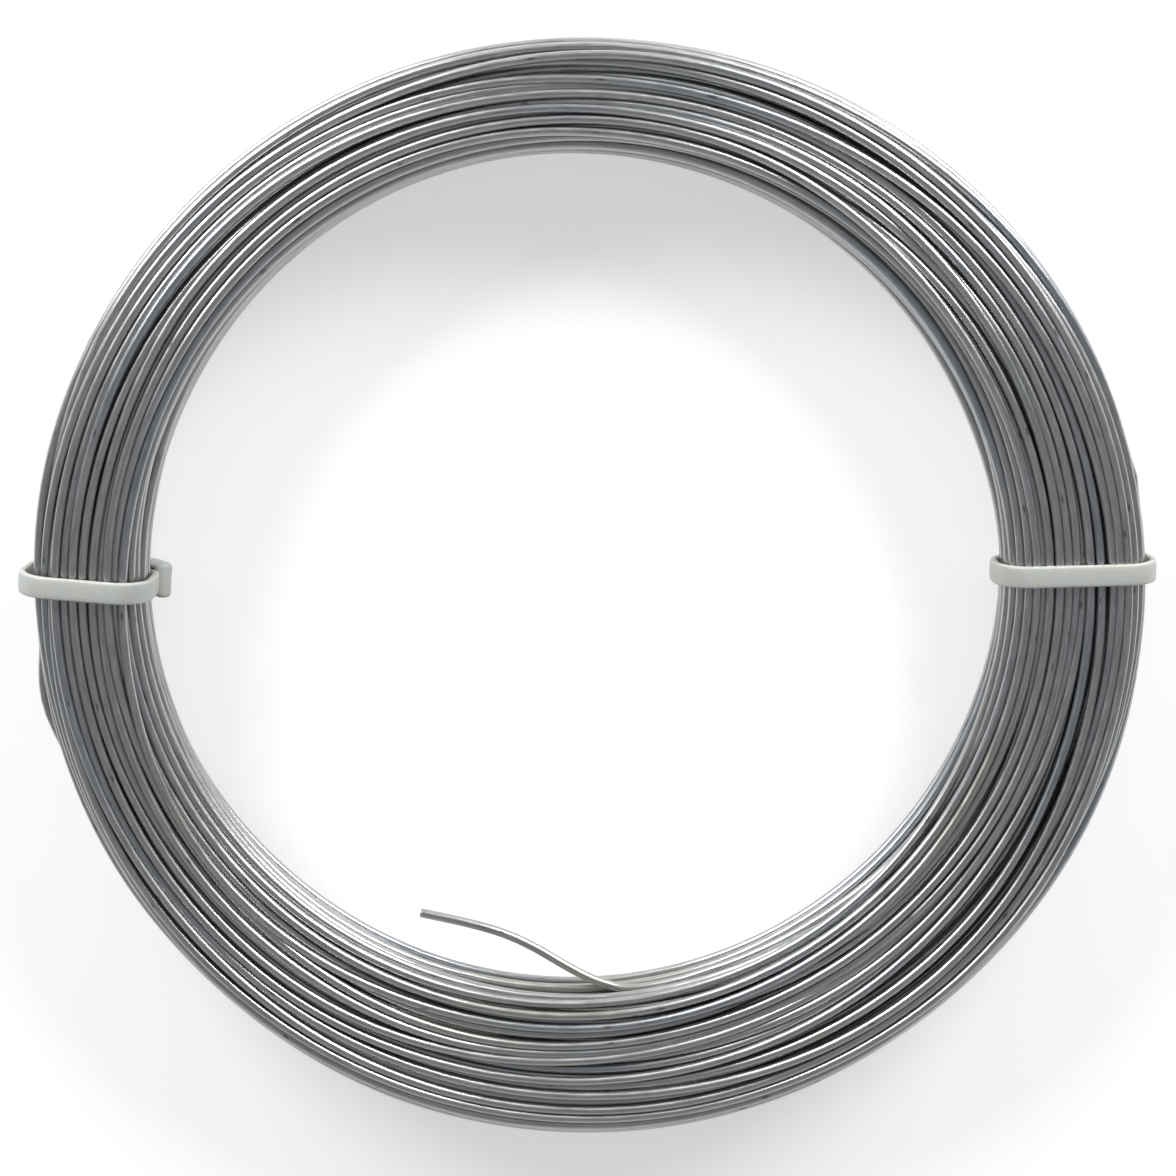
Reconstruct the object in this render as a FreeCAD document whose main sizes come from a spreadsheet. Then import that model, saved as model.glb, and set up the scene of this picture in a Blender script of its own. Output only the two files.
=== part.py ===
import FreeCAD, Part
import math
import os
import Sketcher

# A coil of galvanised binding wire that lies flat, held by two cable ties. Millimetres, +Z up.
# The origin is on the axis of the coil's outside, at floor level. The eye lies off centre, so the
# bundle is wider on one side. The ties stand towards +X and -X.

ORIGIN_PLANES = {"across": "XZ_Plane", "level": "XY_Plane"}

# Every size that can be set by itself: alias, number, what it is.
SIZES = [
    ("wire_diameter", 1.6, "drawn wire"),
    ("turn_pitch", 1.72, "from one turn to the next across the bundle's ends"),
    ("layer_height", 1.65, "from one layer of turns to the next above it"),
    ("bore_diameter", 142.2, "eye of the coil, inside the innermost turns"),
    ("eye_shift", 5.0, "from the outside's axis to the eye's axis"),
    ("eye_shift_angle", 120.6, "which way the eye is shifted, in degrees from the X axis"),
    ("turns_across", 13, "turns from the eye to the outside where the bundle is neither wide nor narrow"),
    ("turns_deep", 9, "turns from the underside to the top"),
    ("added_turns", 3, "turns more across the end where the bundle is widest"),
    ("corner_turns", 3, "turns that each corner of the bundle's section is rounded by"),
    ("shoulder_turns", 2, "turns that show round the half of each corner next to the coil's ends"),
    ("groove_depth", 0.5, "depth of the groove between two turns that lie side by side"),
    ("strap_width", 3.6, "cable tie"),
    ("strap_thickness", 1.1, "cable tie"),
    ("strap_clearance", 0.18, "between the strap and the turns inside it"),
    ("tie_angle", 4.2, "each tie's angle in degrees from the X axis, towards +Y"),
    ("head_length", 5.5, "tie head, along the strap"),
    ("head_width", 6.0, "tie head, across the strap"),
    ("head_height", 2.3, "tie head, above the strap's outer face"),
    ("head_edge_bevel", 0.5, "moulded edge round the head's outer face"),
    ("slot_clearance", 0.25, "round the strap's end in the head's slot"),
    ("slot_depth", 1.8, "open part of the head's slot"),
    ("end_recess", 0.2, "from the head's outer face down to the strap's cut end"),
    ("free_end_level", 5.8, "height of the free end above the bundle's underside"),
    ("lead_depth", 1.5, "from the eye's wall to the middle of the free end where it is still bound in"),
    ("leave_angle", 79.0, "degrees round the eye from +X where the free end leaves its turn"),
    ("inward_bend_radius", 22.0, "free end, first bend, into the eye"),
    ("inward_heading", 36.0, "degrees from the X axis after the first bend"),
    ("middle_run", 3.5, "straight run between the two bends"),
    ("return_bend_radius", 30.0, "free end, second bend"),
    ("tip_heading", 13.0, "degrees from the X axis along the tip"),
    ("tip_run", 10.6, "straight run up to the cut tip"),
]

# What follows from them. Each line may use the ones before it.
DERIVED = [
    ("eye_wall", "bore_diameter / 2"),
    ("outer_wall", "eye_wall + turns_across * turn_pitch"),
    ("eye_x", "eye_shift * cos(eye_shift_angle)"),
    ("eye_y", "eye_shift * sin(eye_shift_angle)"),
    ("left_lean", "180 - tie_angle - eye_shift_angle"),
    ("right_lean", "eye_shift_angle - tie_angle"),
    ("left_wall", "eye_shift * cos(left_lean) + sqrt(eye_wall ^ 2 - (eye_shift * sin(left_lean)) ^ 2)"),
    ("right_wall", "eye_shift * cos(right_lean) + sqrt(eye_wall ^ 2 - (eye_shift * sin(right_lean)) ^ 2)"),
    ("underside", "head_height + strap_thickness + strap_clearance"),
    ("top_side", "underside + turns_deep * layer_height"),
    ("corner_radius", "corner_turns * turn_pitch"),
    ("groove_radius", "corner_radius - groove_depth"),
    ("inner_corner", "eye_wall + corner_radius"),
    ("outer_corner", "outer_wall - corner_radius"),
    ("blank_wall", "eye_wall / 2"),
    ("core_wall", "blank_wall / 2"),
    ("lower_corner", "underside + corner_radius"),
    ("upper_corner", "top_side - corner_radius"),
    ("strap_inner_radius", "corner_radius + strap_clearance"),
    ("strap_outer_radius", "strap_inner_radius + strap_thickness"),
    ("head_reach", "strap_outer_radius + head_height"),
    ("level_head_turn", "2 * atan(head_length / 2 / head_reach)"),
    ("slot_floor", "head_reach - slot_depth"),
    ("lead_radius", "eye_wall + lead_depth"),
    ("tail_height", "underside + free_end_level"),
]


def make_sheet(doc):
    sheet = doc.addObject("Spreadsheet::Sheet", "Sizes")
    rows = [(alias, str(number), note) for alias, number, note in SIZES]
    rows += [(alias, "=" + formula, "worked out") for alias, formula in DERIVED]
    for row, (alias, content, note) in enumerate(rows, start=1):
        sheet.set(f"A{row}", alias)
        sheet.set(f"B{row}", content)
        sheet.set(f"C{row}", note)
        sheet.setAlias(f"B{row}", alias)
    doc.recompute()


def number_of(owner, expression):
    result = owner.evalExpression(expression)
    return float(getattr(result, "Value", result))


def new_body(doc, name):
    body = doc.addObject("PartDesign::Body", name)
    body.Label = name
    return body


def new_sketch(body, name, plane):
    sketch = body.newObject("Sketcher::SketchObject", name)
    role = ORIGIN_PLANES[plane]
    support = next(feature for feature in body.Origin.OriginFeatures if feature.Role == role)
    sketch.AttachmentSupport = [(support, "")]
    sketch.MapMode = "FlatFace"
    return sketch


def drive(sketch, kind, references, expression):
    """Adds one dimension to the sketch and ties it to the sheet."""
    number = number_of(sketch, expression)
    if kind == "Angle":
        number = math.radians(number)
        expression = f"({expression}) * 1 deg"
    index = sketch.addConstraint(Sketcher.Constraint(kind, *references, number))
    sketch.setExpression(f"Constraints[{index}]", expression)


def draw_polygon(sketch, corners):
    """Closed outline through corners that are given as pairs of expressions."""
    points = [
        FreeCAD.Vector(number_of(sketch, across), number_of(sketch, up), 0)
        for across, up in corners
    ]
    ends = points[1:] + points[:1]
    for start, end in zip(points, ends):
        sketch.addGeometry(Part.LineSegment(start, end))
    for line in range(len(points)):
        following = (line + 1) % len(points)
        sketch.addConstraint(Sketcher.Constraint("Coincident", line, 2, following, 1))
    for line, (across, up) in enumerate(corners):
        drive(sketch, "DistanceX", (-1, 1, line, 1), across)
        drive(sketch, "DistanceY", (-1, 1, line, 1), up)


def draw_rounded_rectangle(sketch, left, bottom, right, top, radius):
    """Closed outline of four lines and four corner arcs. Sides and radius are expressions."""
    west, south, east, north, bend = (
        number_of(sketch, side) for side in (left, bottom, right, top, radius)
    )
    first = sketch.GeometryCount
    lines = [
        ((west + bend, south), (east - bend, south)),
        ((east, south + bend), (east, north - bend)),
        ((east - bend, north), (west + bend, north)),
        ((west, north - bend), (west, south + bend)),
    ]
    centres = [
        (east - bend, south + bend),
        (east - bend, north - bend),
        (west + bend, north - bend),
        (west + bend, south + bend),
    ]
    upright = FreeCAD.Vector(0, 0, 1)
    for quarter in range(4):
        start, end = (FreeCAD.Vector(*point, 0) for point in lines[quarter])
        sketch.addGeometry(Part.LineSegment(start, end))
        circle = Part.Circle(FreeCAD.Vector(*centres[quarter], 0), upright, bend)
        opening = math.radians(90 * quarter - 90)
        sketch.addGeometry(Part.ArcOfCircle(circle, opening, opening + math.pi / 2))
    for quarter in range(4):
        line = first + 2 * quarter
        arc = line + 1
        following = first + (2 * quarter + 2) % 8
        sketch.addConstraint(Sketcher.Constraint("Tangent", line, 2, arc, 1))
        sketch.addConstraint(Sketcher.Constraint("Tangent", arc, 2, following, 1))
        level = "Horizontal" if quarter % 2 == 0 else "Vertical"
        sketch.addConstraint(Sketcher.Constraint(level, line))
        if quarter:
            sketch.addConstraint(Sketcher.Constraint("Equal", first + 1, arc))
    drive(sketch, "Radius", (first + 1,), radius)
    drive(sketch, "DistanceY", (-1, 1, first, 1), bottom)
    drive(sketch, "DistanceX", (-1, 1, first + 2, 1), right)
    drive(sketch, "DistanceY", (-1, 1, first + 4, 1), top)
    drive(sketch, "DistanceX", (-1, 1, first + 6, 1), left)


def end_ridges(count, start, step, crest, groove):
    """Turns along one end of the coil: a groove, then a crest, for each turn."""
    corners = []
    for turn in range(count):
        corners.append((f"{start} + {turn} * ({step})", groove))
        corners.append((f"{start} + {turn + 0.5} * ({step})", crest))
    return corners


def shoulder_ridges(count, first, second):
    """Turns round half a corner: two radii by turns, and each one's angle from the end's direction."""
    step = 22.5 / count
    return [(second if place % 2 else first, place * step) for place in range(2 * count)]


def shoulder_corners(ridges, across, side, up, end):
    """Corners of the outline round one shoulder. Side and end are + or -, away from its centre."""
    return [
        (f"{across} {side} {radius} * sin({angle})", f"{up} {end} {radius} * cos({angle})")
        for radius, angle in ridges
    ]


def blank_section(numbers):
    """The blank's section, which reaches into the eye. Turns show on both ends and the outer shoulders."""
    count = numbers["turns_across"] - 2 * numbers["corner_turns"] + numbers["added_turns"]
    ridges = shoulder_ridges(numbers["shoulder_turns"], "Sizes.groove_radius", "Sizes.corner_radius")
    outer, lower, upper = "Sizes.outer_corner", "Sizes.lower_corner", "Sizes.upper_corner"
    underside, top_side = "Sizes.underside", "Sizes.top_side"
    pitch, depth = "Sizes.turn_pitch", "Sizes.groove_depth"
    innermost = f"{outer} - {count} * {pitch}"
    section = [("Sizes.blank_wall", top_side), ("Sizes.blank_wall", underside)]
    section += end_ridges(count, innermost, pitch, underside, f"{underside} + {depth}")
    section += shoulder_corners(ridges, outer, "+", lower, "-")
    section += [("Sizes.outer_wall", lower), ("Sizes.outer_wall", upper)]
    section += shoulder_corners(ridges[:0:-1], outer, "+", upper, "+")
    section += end_ridges(count, outer, f"-{pitch}", top_side, f"{top_side} - {depth}")
    section.append((innermost, f"{top_side} - {depth}"))
    return section


def eye_section(numbers):
    """Outline of what is turned out of the blank for the eye. Turns show on the eye's shoulders."""
    ridges = shoulder_ridges(numbers["shoulder_turns"], "Sizes.corner_radius", "Sizes.groove_radius")[1:]
    step = ridges[0][1]
    inner, lower, upper = "Sizes.inner_corner", "Sizes.lower_corner", "Sizes.upper_corner"
    past = f"{inner} + Sizes.groove_radius * sin({step})"
    clear = f"(2 * Sizes.corner_radius - Sizes.groove_radius * cos({step}))"
    above, below = f"{upper} + {clear}", f"{lower} - {clear}"
    section = [("Sizes.core_wall", above), ("Sizes.core_wall", below), (past, below)]
    section += shoulder_corners(ridges, inner, "-", lower, "-")
    section += [("Sizes.eye_wall", lower), ("Sizes.eye_wall", upper)]
    section += shoulder_corners(ridges[::-1], inner, "-", upper, "+")
    section.append((past, above))
    return section


def shift_to_eye(sketch):
    """Moves a sketch that stands across the coil, so that its upright axis is the eye's axis."""
    sketch.setExpression(".AttachmentOffset.Base.x", "Sizes.eye_x")
    sketch.setExpression(".AttachmentOffset.Base.z", "-Sizes.eye_y")


def free_end_path(sketch):
    """The free end's middle line, seen from above: round with its turn, in, straight, back, straight."""
    lead = number_of(sketch, "Sizes.lead_radius")
    leave = math.radians(-number_of(sketch, "Sizes.leave_angle"))
    inward = math.radians(number_of(sketch, "Sizes.inward_heading"))
    tip = math.radians(number_of(sketch, "Sizes.tip_heading"))
    bend_in = number_of(sketch, "Sizes.inward_bend_radius")
    bend_back = number_of(sketch, "Sizes.return_bend_radius")
    middle = number_of(sketch, "Sizes.middle_run")
    last = number_of(sketch, "Sizes.tip_run")
    upright = FreeCAD.Vector(0, 0, 1)

    def beside(centre, radius, angle):
        return centre + FreeCAD.Vector(math.cos(angle), math.sin(angle), 0) * radius

    def ahead(start, heading, run):
        return start + FreeCAD.Vector(-math.cos(heading), math.sin(heading), 0) * run

    axis = FreeCAD.Vector(0, 0, 0)
    in_centre = beside(axis, lead - bend_in, leave)
    in_end_angle = -math.pi / 2 - inward
    in_end = beside(in_centre, bend_in, in_end_angle)
    middle_end = ahead(in_end, inward, middle)
    back_centre = beside(middle_end, bend_back, in_end_angle)
    back_end = beside(back_centre, bend_back, math.pi / 2 - tip)
    curves = [
        Part.ArcOfCircle(Part.Circle(axis, upright, lead), leave, 0),
        Part.ArcOfCircle(Part.Circle(in_centre, upright, bend_in), in_end_angle, leave),
        Part.LineSegment(in_end, middle_end),
        Part.ArcOfCircle(
            Part.Circle(back_centre, upright, bend_back), math.pi / 2 - inward, math.pi / 2 - tip
        ),
        Part.LineSegment(back_end, ahead(back_end, tip, last)),
    ]
    turn, into_eye, middle_line, back_again, tip_line = (sketch.addGeometry(c) for c in curves)
    leave_line = sketch.addGeometry(Part.LineSegment(axis, beside(axis, lead, leave)), True)
    joints = [
        ("Coincident", turn, 3, -1, 1),
        ("PointOnObject", turn, 2, -1),
        ("Coincident", leave_line, 1, -1, 1),
        ("Coincident", leave_line, 2, turn, 1),
        ("Tangent", into_eye, 2, turn, 1),
        ("Tangent", middle_line, 1, into_eye, 1),
        ("Tangent", middle_line, 2, back_again, 1),
        ("Tangent", tip_line, 1, back_again, 2),
    ]
    for joint in joints:
        sketch.addConstraint(Sketcher.Constraint(*joint))
    drive(sketch, "Radius", (turn,), "Sizes.lead_radius")
    drive(sketch, "Angle", (leave_line,), "-Sizes.leave_angle")
    drive(sketch, "Radius", (into_eye,), "Sizes.inward_bend_radius")
    drive(sketch, "Angle", (middle_line,), "180 - Sizes.inward_heading")
    drive(sketch, "Distance", (middle_line,), "Sizes.middle_run")
    drive(sketch, "Radius", (back_again,), "Sizes.return_bend_radius")
    drive(sketch, "Angle", (tip_line,), "180 - Sizes.tip_heading")
    drive(sketch, "Distance", (tip_line,), "Sizes.tip_run")


def make_wire_coil(doc, numbers):
    """One wire: the turned bundle with its bore, and the free end that stands into the eye."""
    body = new_body(doc, "wire_coil")

    section = new_sketch(body, "blank_section", "across")
    draw_polygon(section, blank_section(numbers))
    blank = body.newObject("PartDesign::Revolution", "blank")
    blank.Profile = section
    blank.ReferenceAxis = (section, ["V_Axis"])
    blank.Angle = 360

    cut = new_sketch(body, "eye_section", "across")
    shift_to_eye(cut)
    draw_polygon(cut, eye_section(numbers))
    eye = body.newObject("PartDesign::Groove", "eye")
    eye.Profile = cut
    eye.ReferenceAxis = (cut, ["V_Axis"])
    eye.Angle = 360

    path = new_sketch(body, "free_end_path", "level")
    path.setExpression(".AttachmentOffset.Base.x", "Sizes.eye_x")
    path.setExpression(".AttachmentOffset.Base.y", "Sizes.eye_y")
    path.setExpression(".AttachmentOffset.Base.z", "Sizes.tail_height")
    free_end_path(path)

    wire_section = new_sketch(body, "wire_section", "across")
    shift_to_eye(wire_section)
    centre = FreeCAD.Vector(
        number_of(wire_section, "Sizes.lead_radius"), number_of(wire_section, "Sizes.tail_height"), 0
    )
    radius = number_of(wire_section, "Sizes.wire_diameter / 2")
    circle = wire_section.addGeometry(Part.Circle(centre, FreeCAD.Vector(0, 0, 1), radius))
    drive(wire_section, "Diameter", (circle,), "Sizes.wire_diameter")
    drive(wire_section, "DistanceX", (-1, 1, circle, 3), "Sizes.lead_radius")
    drive(wire_section, "DistanceY", (-1, 1, circle, 3), "Sizes.tail_height")

    free_end = body.newObject("PartDesign::AdditivePipe", "free_end")
    free_end.Profile = wire_section
    free_end.Spine = path
    body.Tip = free_end
    return body


def place_head_sketch(sketch, wall, head_turn):
    """Sets the sketch on the lower inner corner's centre, with the head straight below it."""
    sketch.setExpression(".AttachmentOffset.Base.x", f"{wall} + Sizes.corner_radius")
    sketch.setExpression(".AttachmentOffset.Base.y", "Sizes.lower_corner")
    sketch.setExpression(".AttachmentOffset.Rotation.Angle", head_turn)


def block_corners(half_length, near, far):
    """Corners of a block that hangs below the sketch's origin, from near down to far."""
    return [
        (f"-({half_length})", f"-({near})"),
        (f"-({half_length})", f"-({far})"),
        (half_length, f"-({far})"),
        (half_length, f"-({near})"),
    ]


def pad_both_ways(body, name, sketch, length):
    pad = body.newObject("PartDesign::Pad", name)
    pad.Profile = sketch
    pad.SideType = "Symmetric"
    pad.setExpression("Length", length)
    return pad


def outer_face_edges(shape, centre):
    """Names of the edges round the face that lies at the given point."""
    face = min(shape.Faces, key=lambda each: each.CenterOfMass.distanceToPoint(centre))
    return [
        f"Edge{place}"
        for place, edge in enumerate(shape.Edges, start=1)
        if any(edge.isSame(rim) for rim in face.Edges)
    ]


def make_cable_tie(doc, name, bearing, wall, head_turn):
    """One moulding: the strap round the bundle, the head, and the strap's cut end in its slot."""
    body = new_body(doc, name)
    body.setExpression(".Placement.Rotation.Angle", bearing)

    loop = new_sketch(body, f"{name}_loop", "across")
    outward = "Sizes.strap_clearance + Sizes.strap_thickness"
    for gap, radius in ((outward, "strap_outer_radius"), ("Sizes.strap_clearance", "strap_inner_radius")):
        draw_rounded_rectangle(
            loop,
            f"{wall} - ({gap})",
            f"Sizes.underside - ({gap})",
            f"Sizes.outer_wall + {gap}",
            f"Sizes.top_side + {gap}",
            f"Sizes.{radius}",
        )
    pad_both_ways(body, f"{name}_strap", loop, "Sizes.strap_width")

    block = new_sketch(body, f"{name}_block", "across")
    place_head_sketch(block, wall, head_turn)
    half_head = "Sizes.head_length / 2"
    draw_polygon(block, block_corners(half_head, "Sizes.strap_inner_radius", "Sizes.head_reach"))
    head = pad_both_ways(body, f"{name}_head", block, "Sizes.head_width")
    doc.recompute()

    turn = math.radians(number_of(block, head_turn))
    reach = number_of(block, "Sizes.head_reach")
    face_centre = FreeCAD.Vector(
        number_of(block, f"{wall} + Sizes.corner_radius") + reach * math.sin(turn),
        0,
        number_of(block, "Sizes.lower_corner") - reach * math.cos(turn),
    )
    bevel = body.newObject("PartDesign::Chamfer", f"{name}_head_edges")
    bevel.Base = (head, outer_face_edges(head.Shape, face_centre))
    bevel.setExpression("Size", "Sizes.head_edge_bevel")

    slot = new_sketch(body, f"{name}_slot_section", "across")
    place_head_sketch(slot, wall, head_turn)
    half_slot = "(Sizes.strap_thickness / 2 + Sizes.slot_clearance)"
    draw_polygon(slot, block_corners(half_slot, "Sizes.slot_floor", "Sizes.head_reach"))
    opening = body.newObject("PartDesign::Pocket", f"{name}_slot")
    opening.Profile = slot
    opening.SideType = "Symmetric"
    opening.setExpression("Length", "Sizes.strap_width + 2 * Sizes.slot_clearance")

    cut_end = new_sketch(body, f"{name}_end_section", "across")
    place_head_sketch(cut_end, wall, head_turn)
    half_strap = "Sizes.strap_thickness / 2"
    draw_polygon(
        cut_end, block_corners(half_strap, "Sizes.slot_floor", "Sizes.head_reach - Sizes.end_recess")
    )
    body.Tip = pad_both_ways(body, f"{name}_cut_end", cut_end, "Sizes.strap_width")
    return body


def check(doc, bodies):
    for item in doc.Objects:
        if "Invalid" in item.State or "Error" in item.State:
            raise RuntimeError(f"{item.Name} failed: {item.State}")
    for body in bodies:
        if body.Shape.isNull() or not body.Shape.isValid():
            raise RuntimeError(f"{body.Label} has no valid shape")
        if len(body.Shape.Solids) != 1:
            raise RuntimeError(f"{body.Label} is not one solid")


def main():
    doc = FreeCAD.newDocument("coil_of_binding_wire")
    make_sheet(doc)
    numbers = {alias: number for alias, number, note in SIZES}
    bodies = [
        make_wire_coil(doc, numbers),
        make_cable_tie(
            doc, "left_cable_tie", "180 - Sizes.tie_angle", "Sizes.left_wall", "-Sizes.level_head_turn"
        ),
        make_cable_tie(doc, "right_cable_tie", "Sizes.tie_angle", "Sizes.right_wall", "0"),
    ]
    doc.recompute()
    check(doc, bodies)
    os.makedirs("parts", exist_ok=True)
    for body in bodies:
        body.Shape.exportStep(os.path.join("parts", f"{body.Label}.step"))
        print(f"{body.Label}: {body.Shape.Volume:.1f} mm3, {len(body.Shape.Faces)} faces")


main()
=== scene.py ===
import math

import bpy
import numpy as np
from mathutils import Matrix, Vector


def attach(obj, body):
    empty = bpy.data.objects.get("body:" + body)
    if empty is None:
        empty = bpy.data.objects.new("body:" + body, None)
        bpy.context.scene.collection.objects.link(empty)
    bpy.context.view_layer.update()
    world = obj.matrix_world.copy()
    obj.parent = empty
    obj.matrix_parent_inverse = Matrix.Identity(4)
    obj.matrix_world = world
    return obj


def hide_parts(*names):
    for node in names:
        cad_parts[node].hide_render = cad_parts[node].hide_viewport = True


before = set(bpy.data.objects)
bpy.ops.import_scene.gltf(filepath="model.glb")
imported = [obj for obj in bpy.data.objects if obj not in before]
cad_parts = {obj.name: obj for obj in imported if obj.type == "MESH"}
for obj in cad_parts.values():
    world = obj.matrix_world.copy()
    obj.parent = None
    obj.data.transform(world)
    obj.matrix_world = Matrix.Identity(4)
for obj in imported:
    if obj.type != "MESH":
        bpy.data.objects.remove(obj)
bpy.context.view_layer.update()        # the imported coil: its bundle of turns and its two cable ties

mm = 0.001
print("frame loaded")


# camera and light

view = {
    "target": (-0.27, 4.0, 11.0),     # mm
    "distance": 380.0,
    "tilt": 11.52,                    # degrees off straight down, towards the top of the picture
    "roll": -0.7,
    "focalPixels": 2276.0,
    "imagePixels": 1176,
    "sensor": 36.0,
}

studio = {
    "sideGlow": (0.245, 0.255, 0.27), # what the room sends from overhead and from both sides
    "endGlow": (0.71, 0.71, 0.695),   # and from before and behind the coil
    "lampDistance": 0.75,             # m
    "lampBearings": (48.0, 132.0),    # degrees from +X, both behind the coil as the camera sees it
    "lampHeight": 24.0,               # degrees above the floor
    "lampSize": (0.40, 0.22),
    "lampPower": 6.0,
    "floorHalf": 4.0,
    "floorColour": (0.62, 0.62, 0.61),
    "floorRoughness": 0.9,
    "floorSheen": 0.1,
    "floorLift": 0.45,                # takes the lit floor up to white, and leaves the shadow
}


def placeCamera():
    tilt = math.radians(view["tilt"])
    data = bpy.data.cameras.new("camera")
    data.sensor_width = view["sensor"]
    data.lens = view["focalPixels"] / view["imagePixels"] * view["sensor"]
    data.clip_start = 0.01
    data.clip_end = 50
    cam = bpy.data.objects.new("camera", data)
    bpy.context.collection.objects.link(cam)
    back = Vector((0, math.sin(tilt), math.cos(tilt))) * view["distance"] * mm
    place = Vector(view["target"]) * mm + back
    turn = Matrix.Rotation(-tilt, 4, "X") @ Matrix.Rotation(math.radians(view["roll"]), 4, "Z")
    cam.matrix_world = Matrix.Translation(place) @ turn
    bpy.context.scene.camera = cam


def addLamps():
    for bearing in studio["lampBearings"]:
        data = bpy.data.lights.new(f"lamp_{bearing:.0f}", "AREA")
        data.shape = "RECTANGLE"
        data.size, data.size_y = studio["lampSize"]
        data.energy = studio["lampPower"]
        lamp = bpy.data.objects.new(data.name, data)
        bpy.context.collection.objects.link(lamp)
        az, el = math.radians(bearing), math.radians(studio["lampHeight"])
        way = Vector((math.cos(az) * math.cos(el), math.sin(az) * math.cos(el), math.sin(el)))
        lamp.location = way * studio["lampDistance"]
        lamp.rotation_euler = way.to_track_quat("Z", "Y").to_euler()


def lightWorld():
    # brighter before and behind the coil than at its sides, and plain white to the camera
    world = bpy.data.worlds.new("studio")
    bpy.context.scene.world = world
    world.use_nodes = True
    tree = world.node_tree
    way = tree.nodes.new("ShaderNodeTexCoord").outputs["Generated"]
    parts = tree.nodes.new("ShaderNodeSeparateXYZ")
    tree.links.new(way, parts.inputs[0])
    share = mathNode(tree, "POWER", mathNode(tree, "ABSOLUTE", parts.outputs["Y"]), 2.0)
    glow = mixColour(tree, share, studio["sideGlow"], studio["endGlow"])
    seen = tree.nodes.new("ShaderNodeLightPath").outputs["Is Camera Ray"]
    background = tree.nodes["Background"]
    tree.links.new(mixColour(tree, seen, glow, (1.0, 1.0, 1.0)), background.inputs["Color"])


def makeFloor():
    half = studio["floorHalf"]
    mesh = bpy.data.meshes.new("floor")
    corners = [(-half, -half, 0), (half, -half, 0), (half, half, 0), (-half, half, 0)]
    mesh.from_pydata(corners, [], [(0, 1, 2, 3)])
    floor = bpy.data.objects.new("floor", mesh)
    bpy.context.collection.objects.link(floor)
    mat, nodes, links, shader = newMaterial("floor")
    shader.inputs["Base Color"].default_value = (*studio["floorColour"], 1)
    shader.inputs["Roughness"].default_value = studio["floorRoughness"]
    shader.inputs["Specular IOR Level"].default_value = studio["floorSheen"]
    rays = nodes.new("ShaderNodeLightPath").outputs
    seen = mathNode(mat.node_tree, "MAXIMUM", rays["Is Camera Ray"], rays["Is Glossy Ray"])
    seen = mathNode(mat.node_tree, "MAXIMUM", seen, rays["Is Transmission Ray"])
    lift = mathNode(mat.node_tree, "MULTIPLY", seen, studio["floorLift"])
    shader.inputs["Emission Color"].default_value = (1, 1, 1, 1)
    links.new(lift, shader.inputs["Emission Strength"])
    mesh.materials.append(mat)


def newMaterial(name):
    mat = bpy.data.materials.new(name)
    mat.use_nodes = True
    nodes, links = mat.node_tree.nodes, mat.node_tree.links
    return mat, nodes, links, nodes["Principled BSDF"]


# shader groups that both finishes use

def newGroup(name, inputs, outputs):
    group = bpy.data.node_groups.new(name, "ShaderNodeTree")
    for label, kind, value in inputs:
        sock = group.interface.new_socket(label, in_out="INPUT", socket_type=kind)
        if value is not None:
            sock.default_value = value
    for label, kind in outputs:
        group.interface.new_socket(label, in_out="OUTPUT", socket_type=kind)
    return group, group.nodes.new("NodeGroupInput"), group.nodes.new("NodeGroupOutput")


def mathNode(tree, operation, first, second=None):
    node = tree.nodes.new("ShaderNodeMath")
    node.operation = operation
    for socket, value in zip(node.inputs, (first, second)):
        if value is None:
            continue
        if isinstance(value, (int, float)):
            socket.default_value = value
        else:
            tree.links.new(value, socket)
    return node.outputs[0]


def noiseNode(tree, vector, scale, detail=2.0, roughness=0.5):
    node = tree.nodes.new("ShaderNodeTexNoise")
    tree.links.new(vector, node.inputs["Vector"])
    for label, value in (("Scale", scale), ("Detail", detail), ("Roughness", roughness)):
        if isinstance(value, (int, float)):
            node.inputs[label].default_value = value
        else:
            tree.links.new(value, node.inputs[label])
    return node.outputs["Fac"]


def stretchNode(tree, vector, factors):
    node = tree.nodes.new("ShaderNodeVectorMath")
    node.operation = "MULTIPLY"
    tree.links.new(vector, node.inputs[0])
    node.inputs[1].default_value = factors
    return node.outputs[0]


def rangeNode(tree, value, low, high, toLow=0.0, toHigh=1.0):
    node = tree.nodes.new("ShaderNodeMapRange")
    ends = (("From Min", low), ("From Max", high), ("To Min", toLow), ("To Max", toHigh))
    for label, given in (("Value", value), *ends):
        if isinstance(given, (int, float)):
            node.inputs[label].default_value = given
        else:
            tree.links.new(given, node.inputs[label])
    return node.outputs["Result"]


def mixColour(tree, amount, first, second, mode="MIX"):
    node = tree.nodes.new("ShaderNodeMix")
    node.data_type = "RGBA"
    node.blend_type = mode
    sockets = {s.identifier: s for s in node.inputs}
    for key, value in (("Factor_Float", amount), ("A_Color", first), ("B_Color", second)):
        if isinstance(value, (int, float)):
            sockets[key].default_value = value
        elif isinstance(value, tuple):
            sockets[key].default_value = (*value, 1)
        else:
            tree.links.new(value, sockets[key])
    return next(s for s in node.outputs if s.identifier == "Result_Color")


def shaded(tree, colour, shade):
    grey = tree.nodes.new("ShaderNodeCombineColor")
    for socket in grey.inputs[:3]:
        tree.links.new(shade, socket)
    return mixColour(tree, 1.0, colour, grey.outputs[0], "MULTIPLY")


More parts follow.
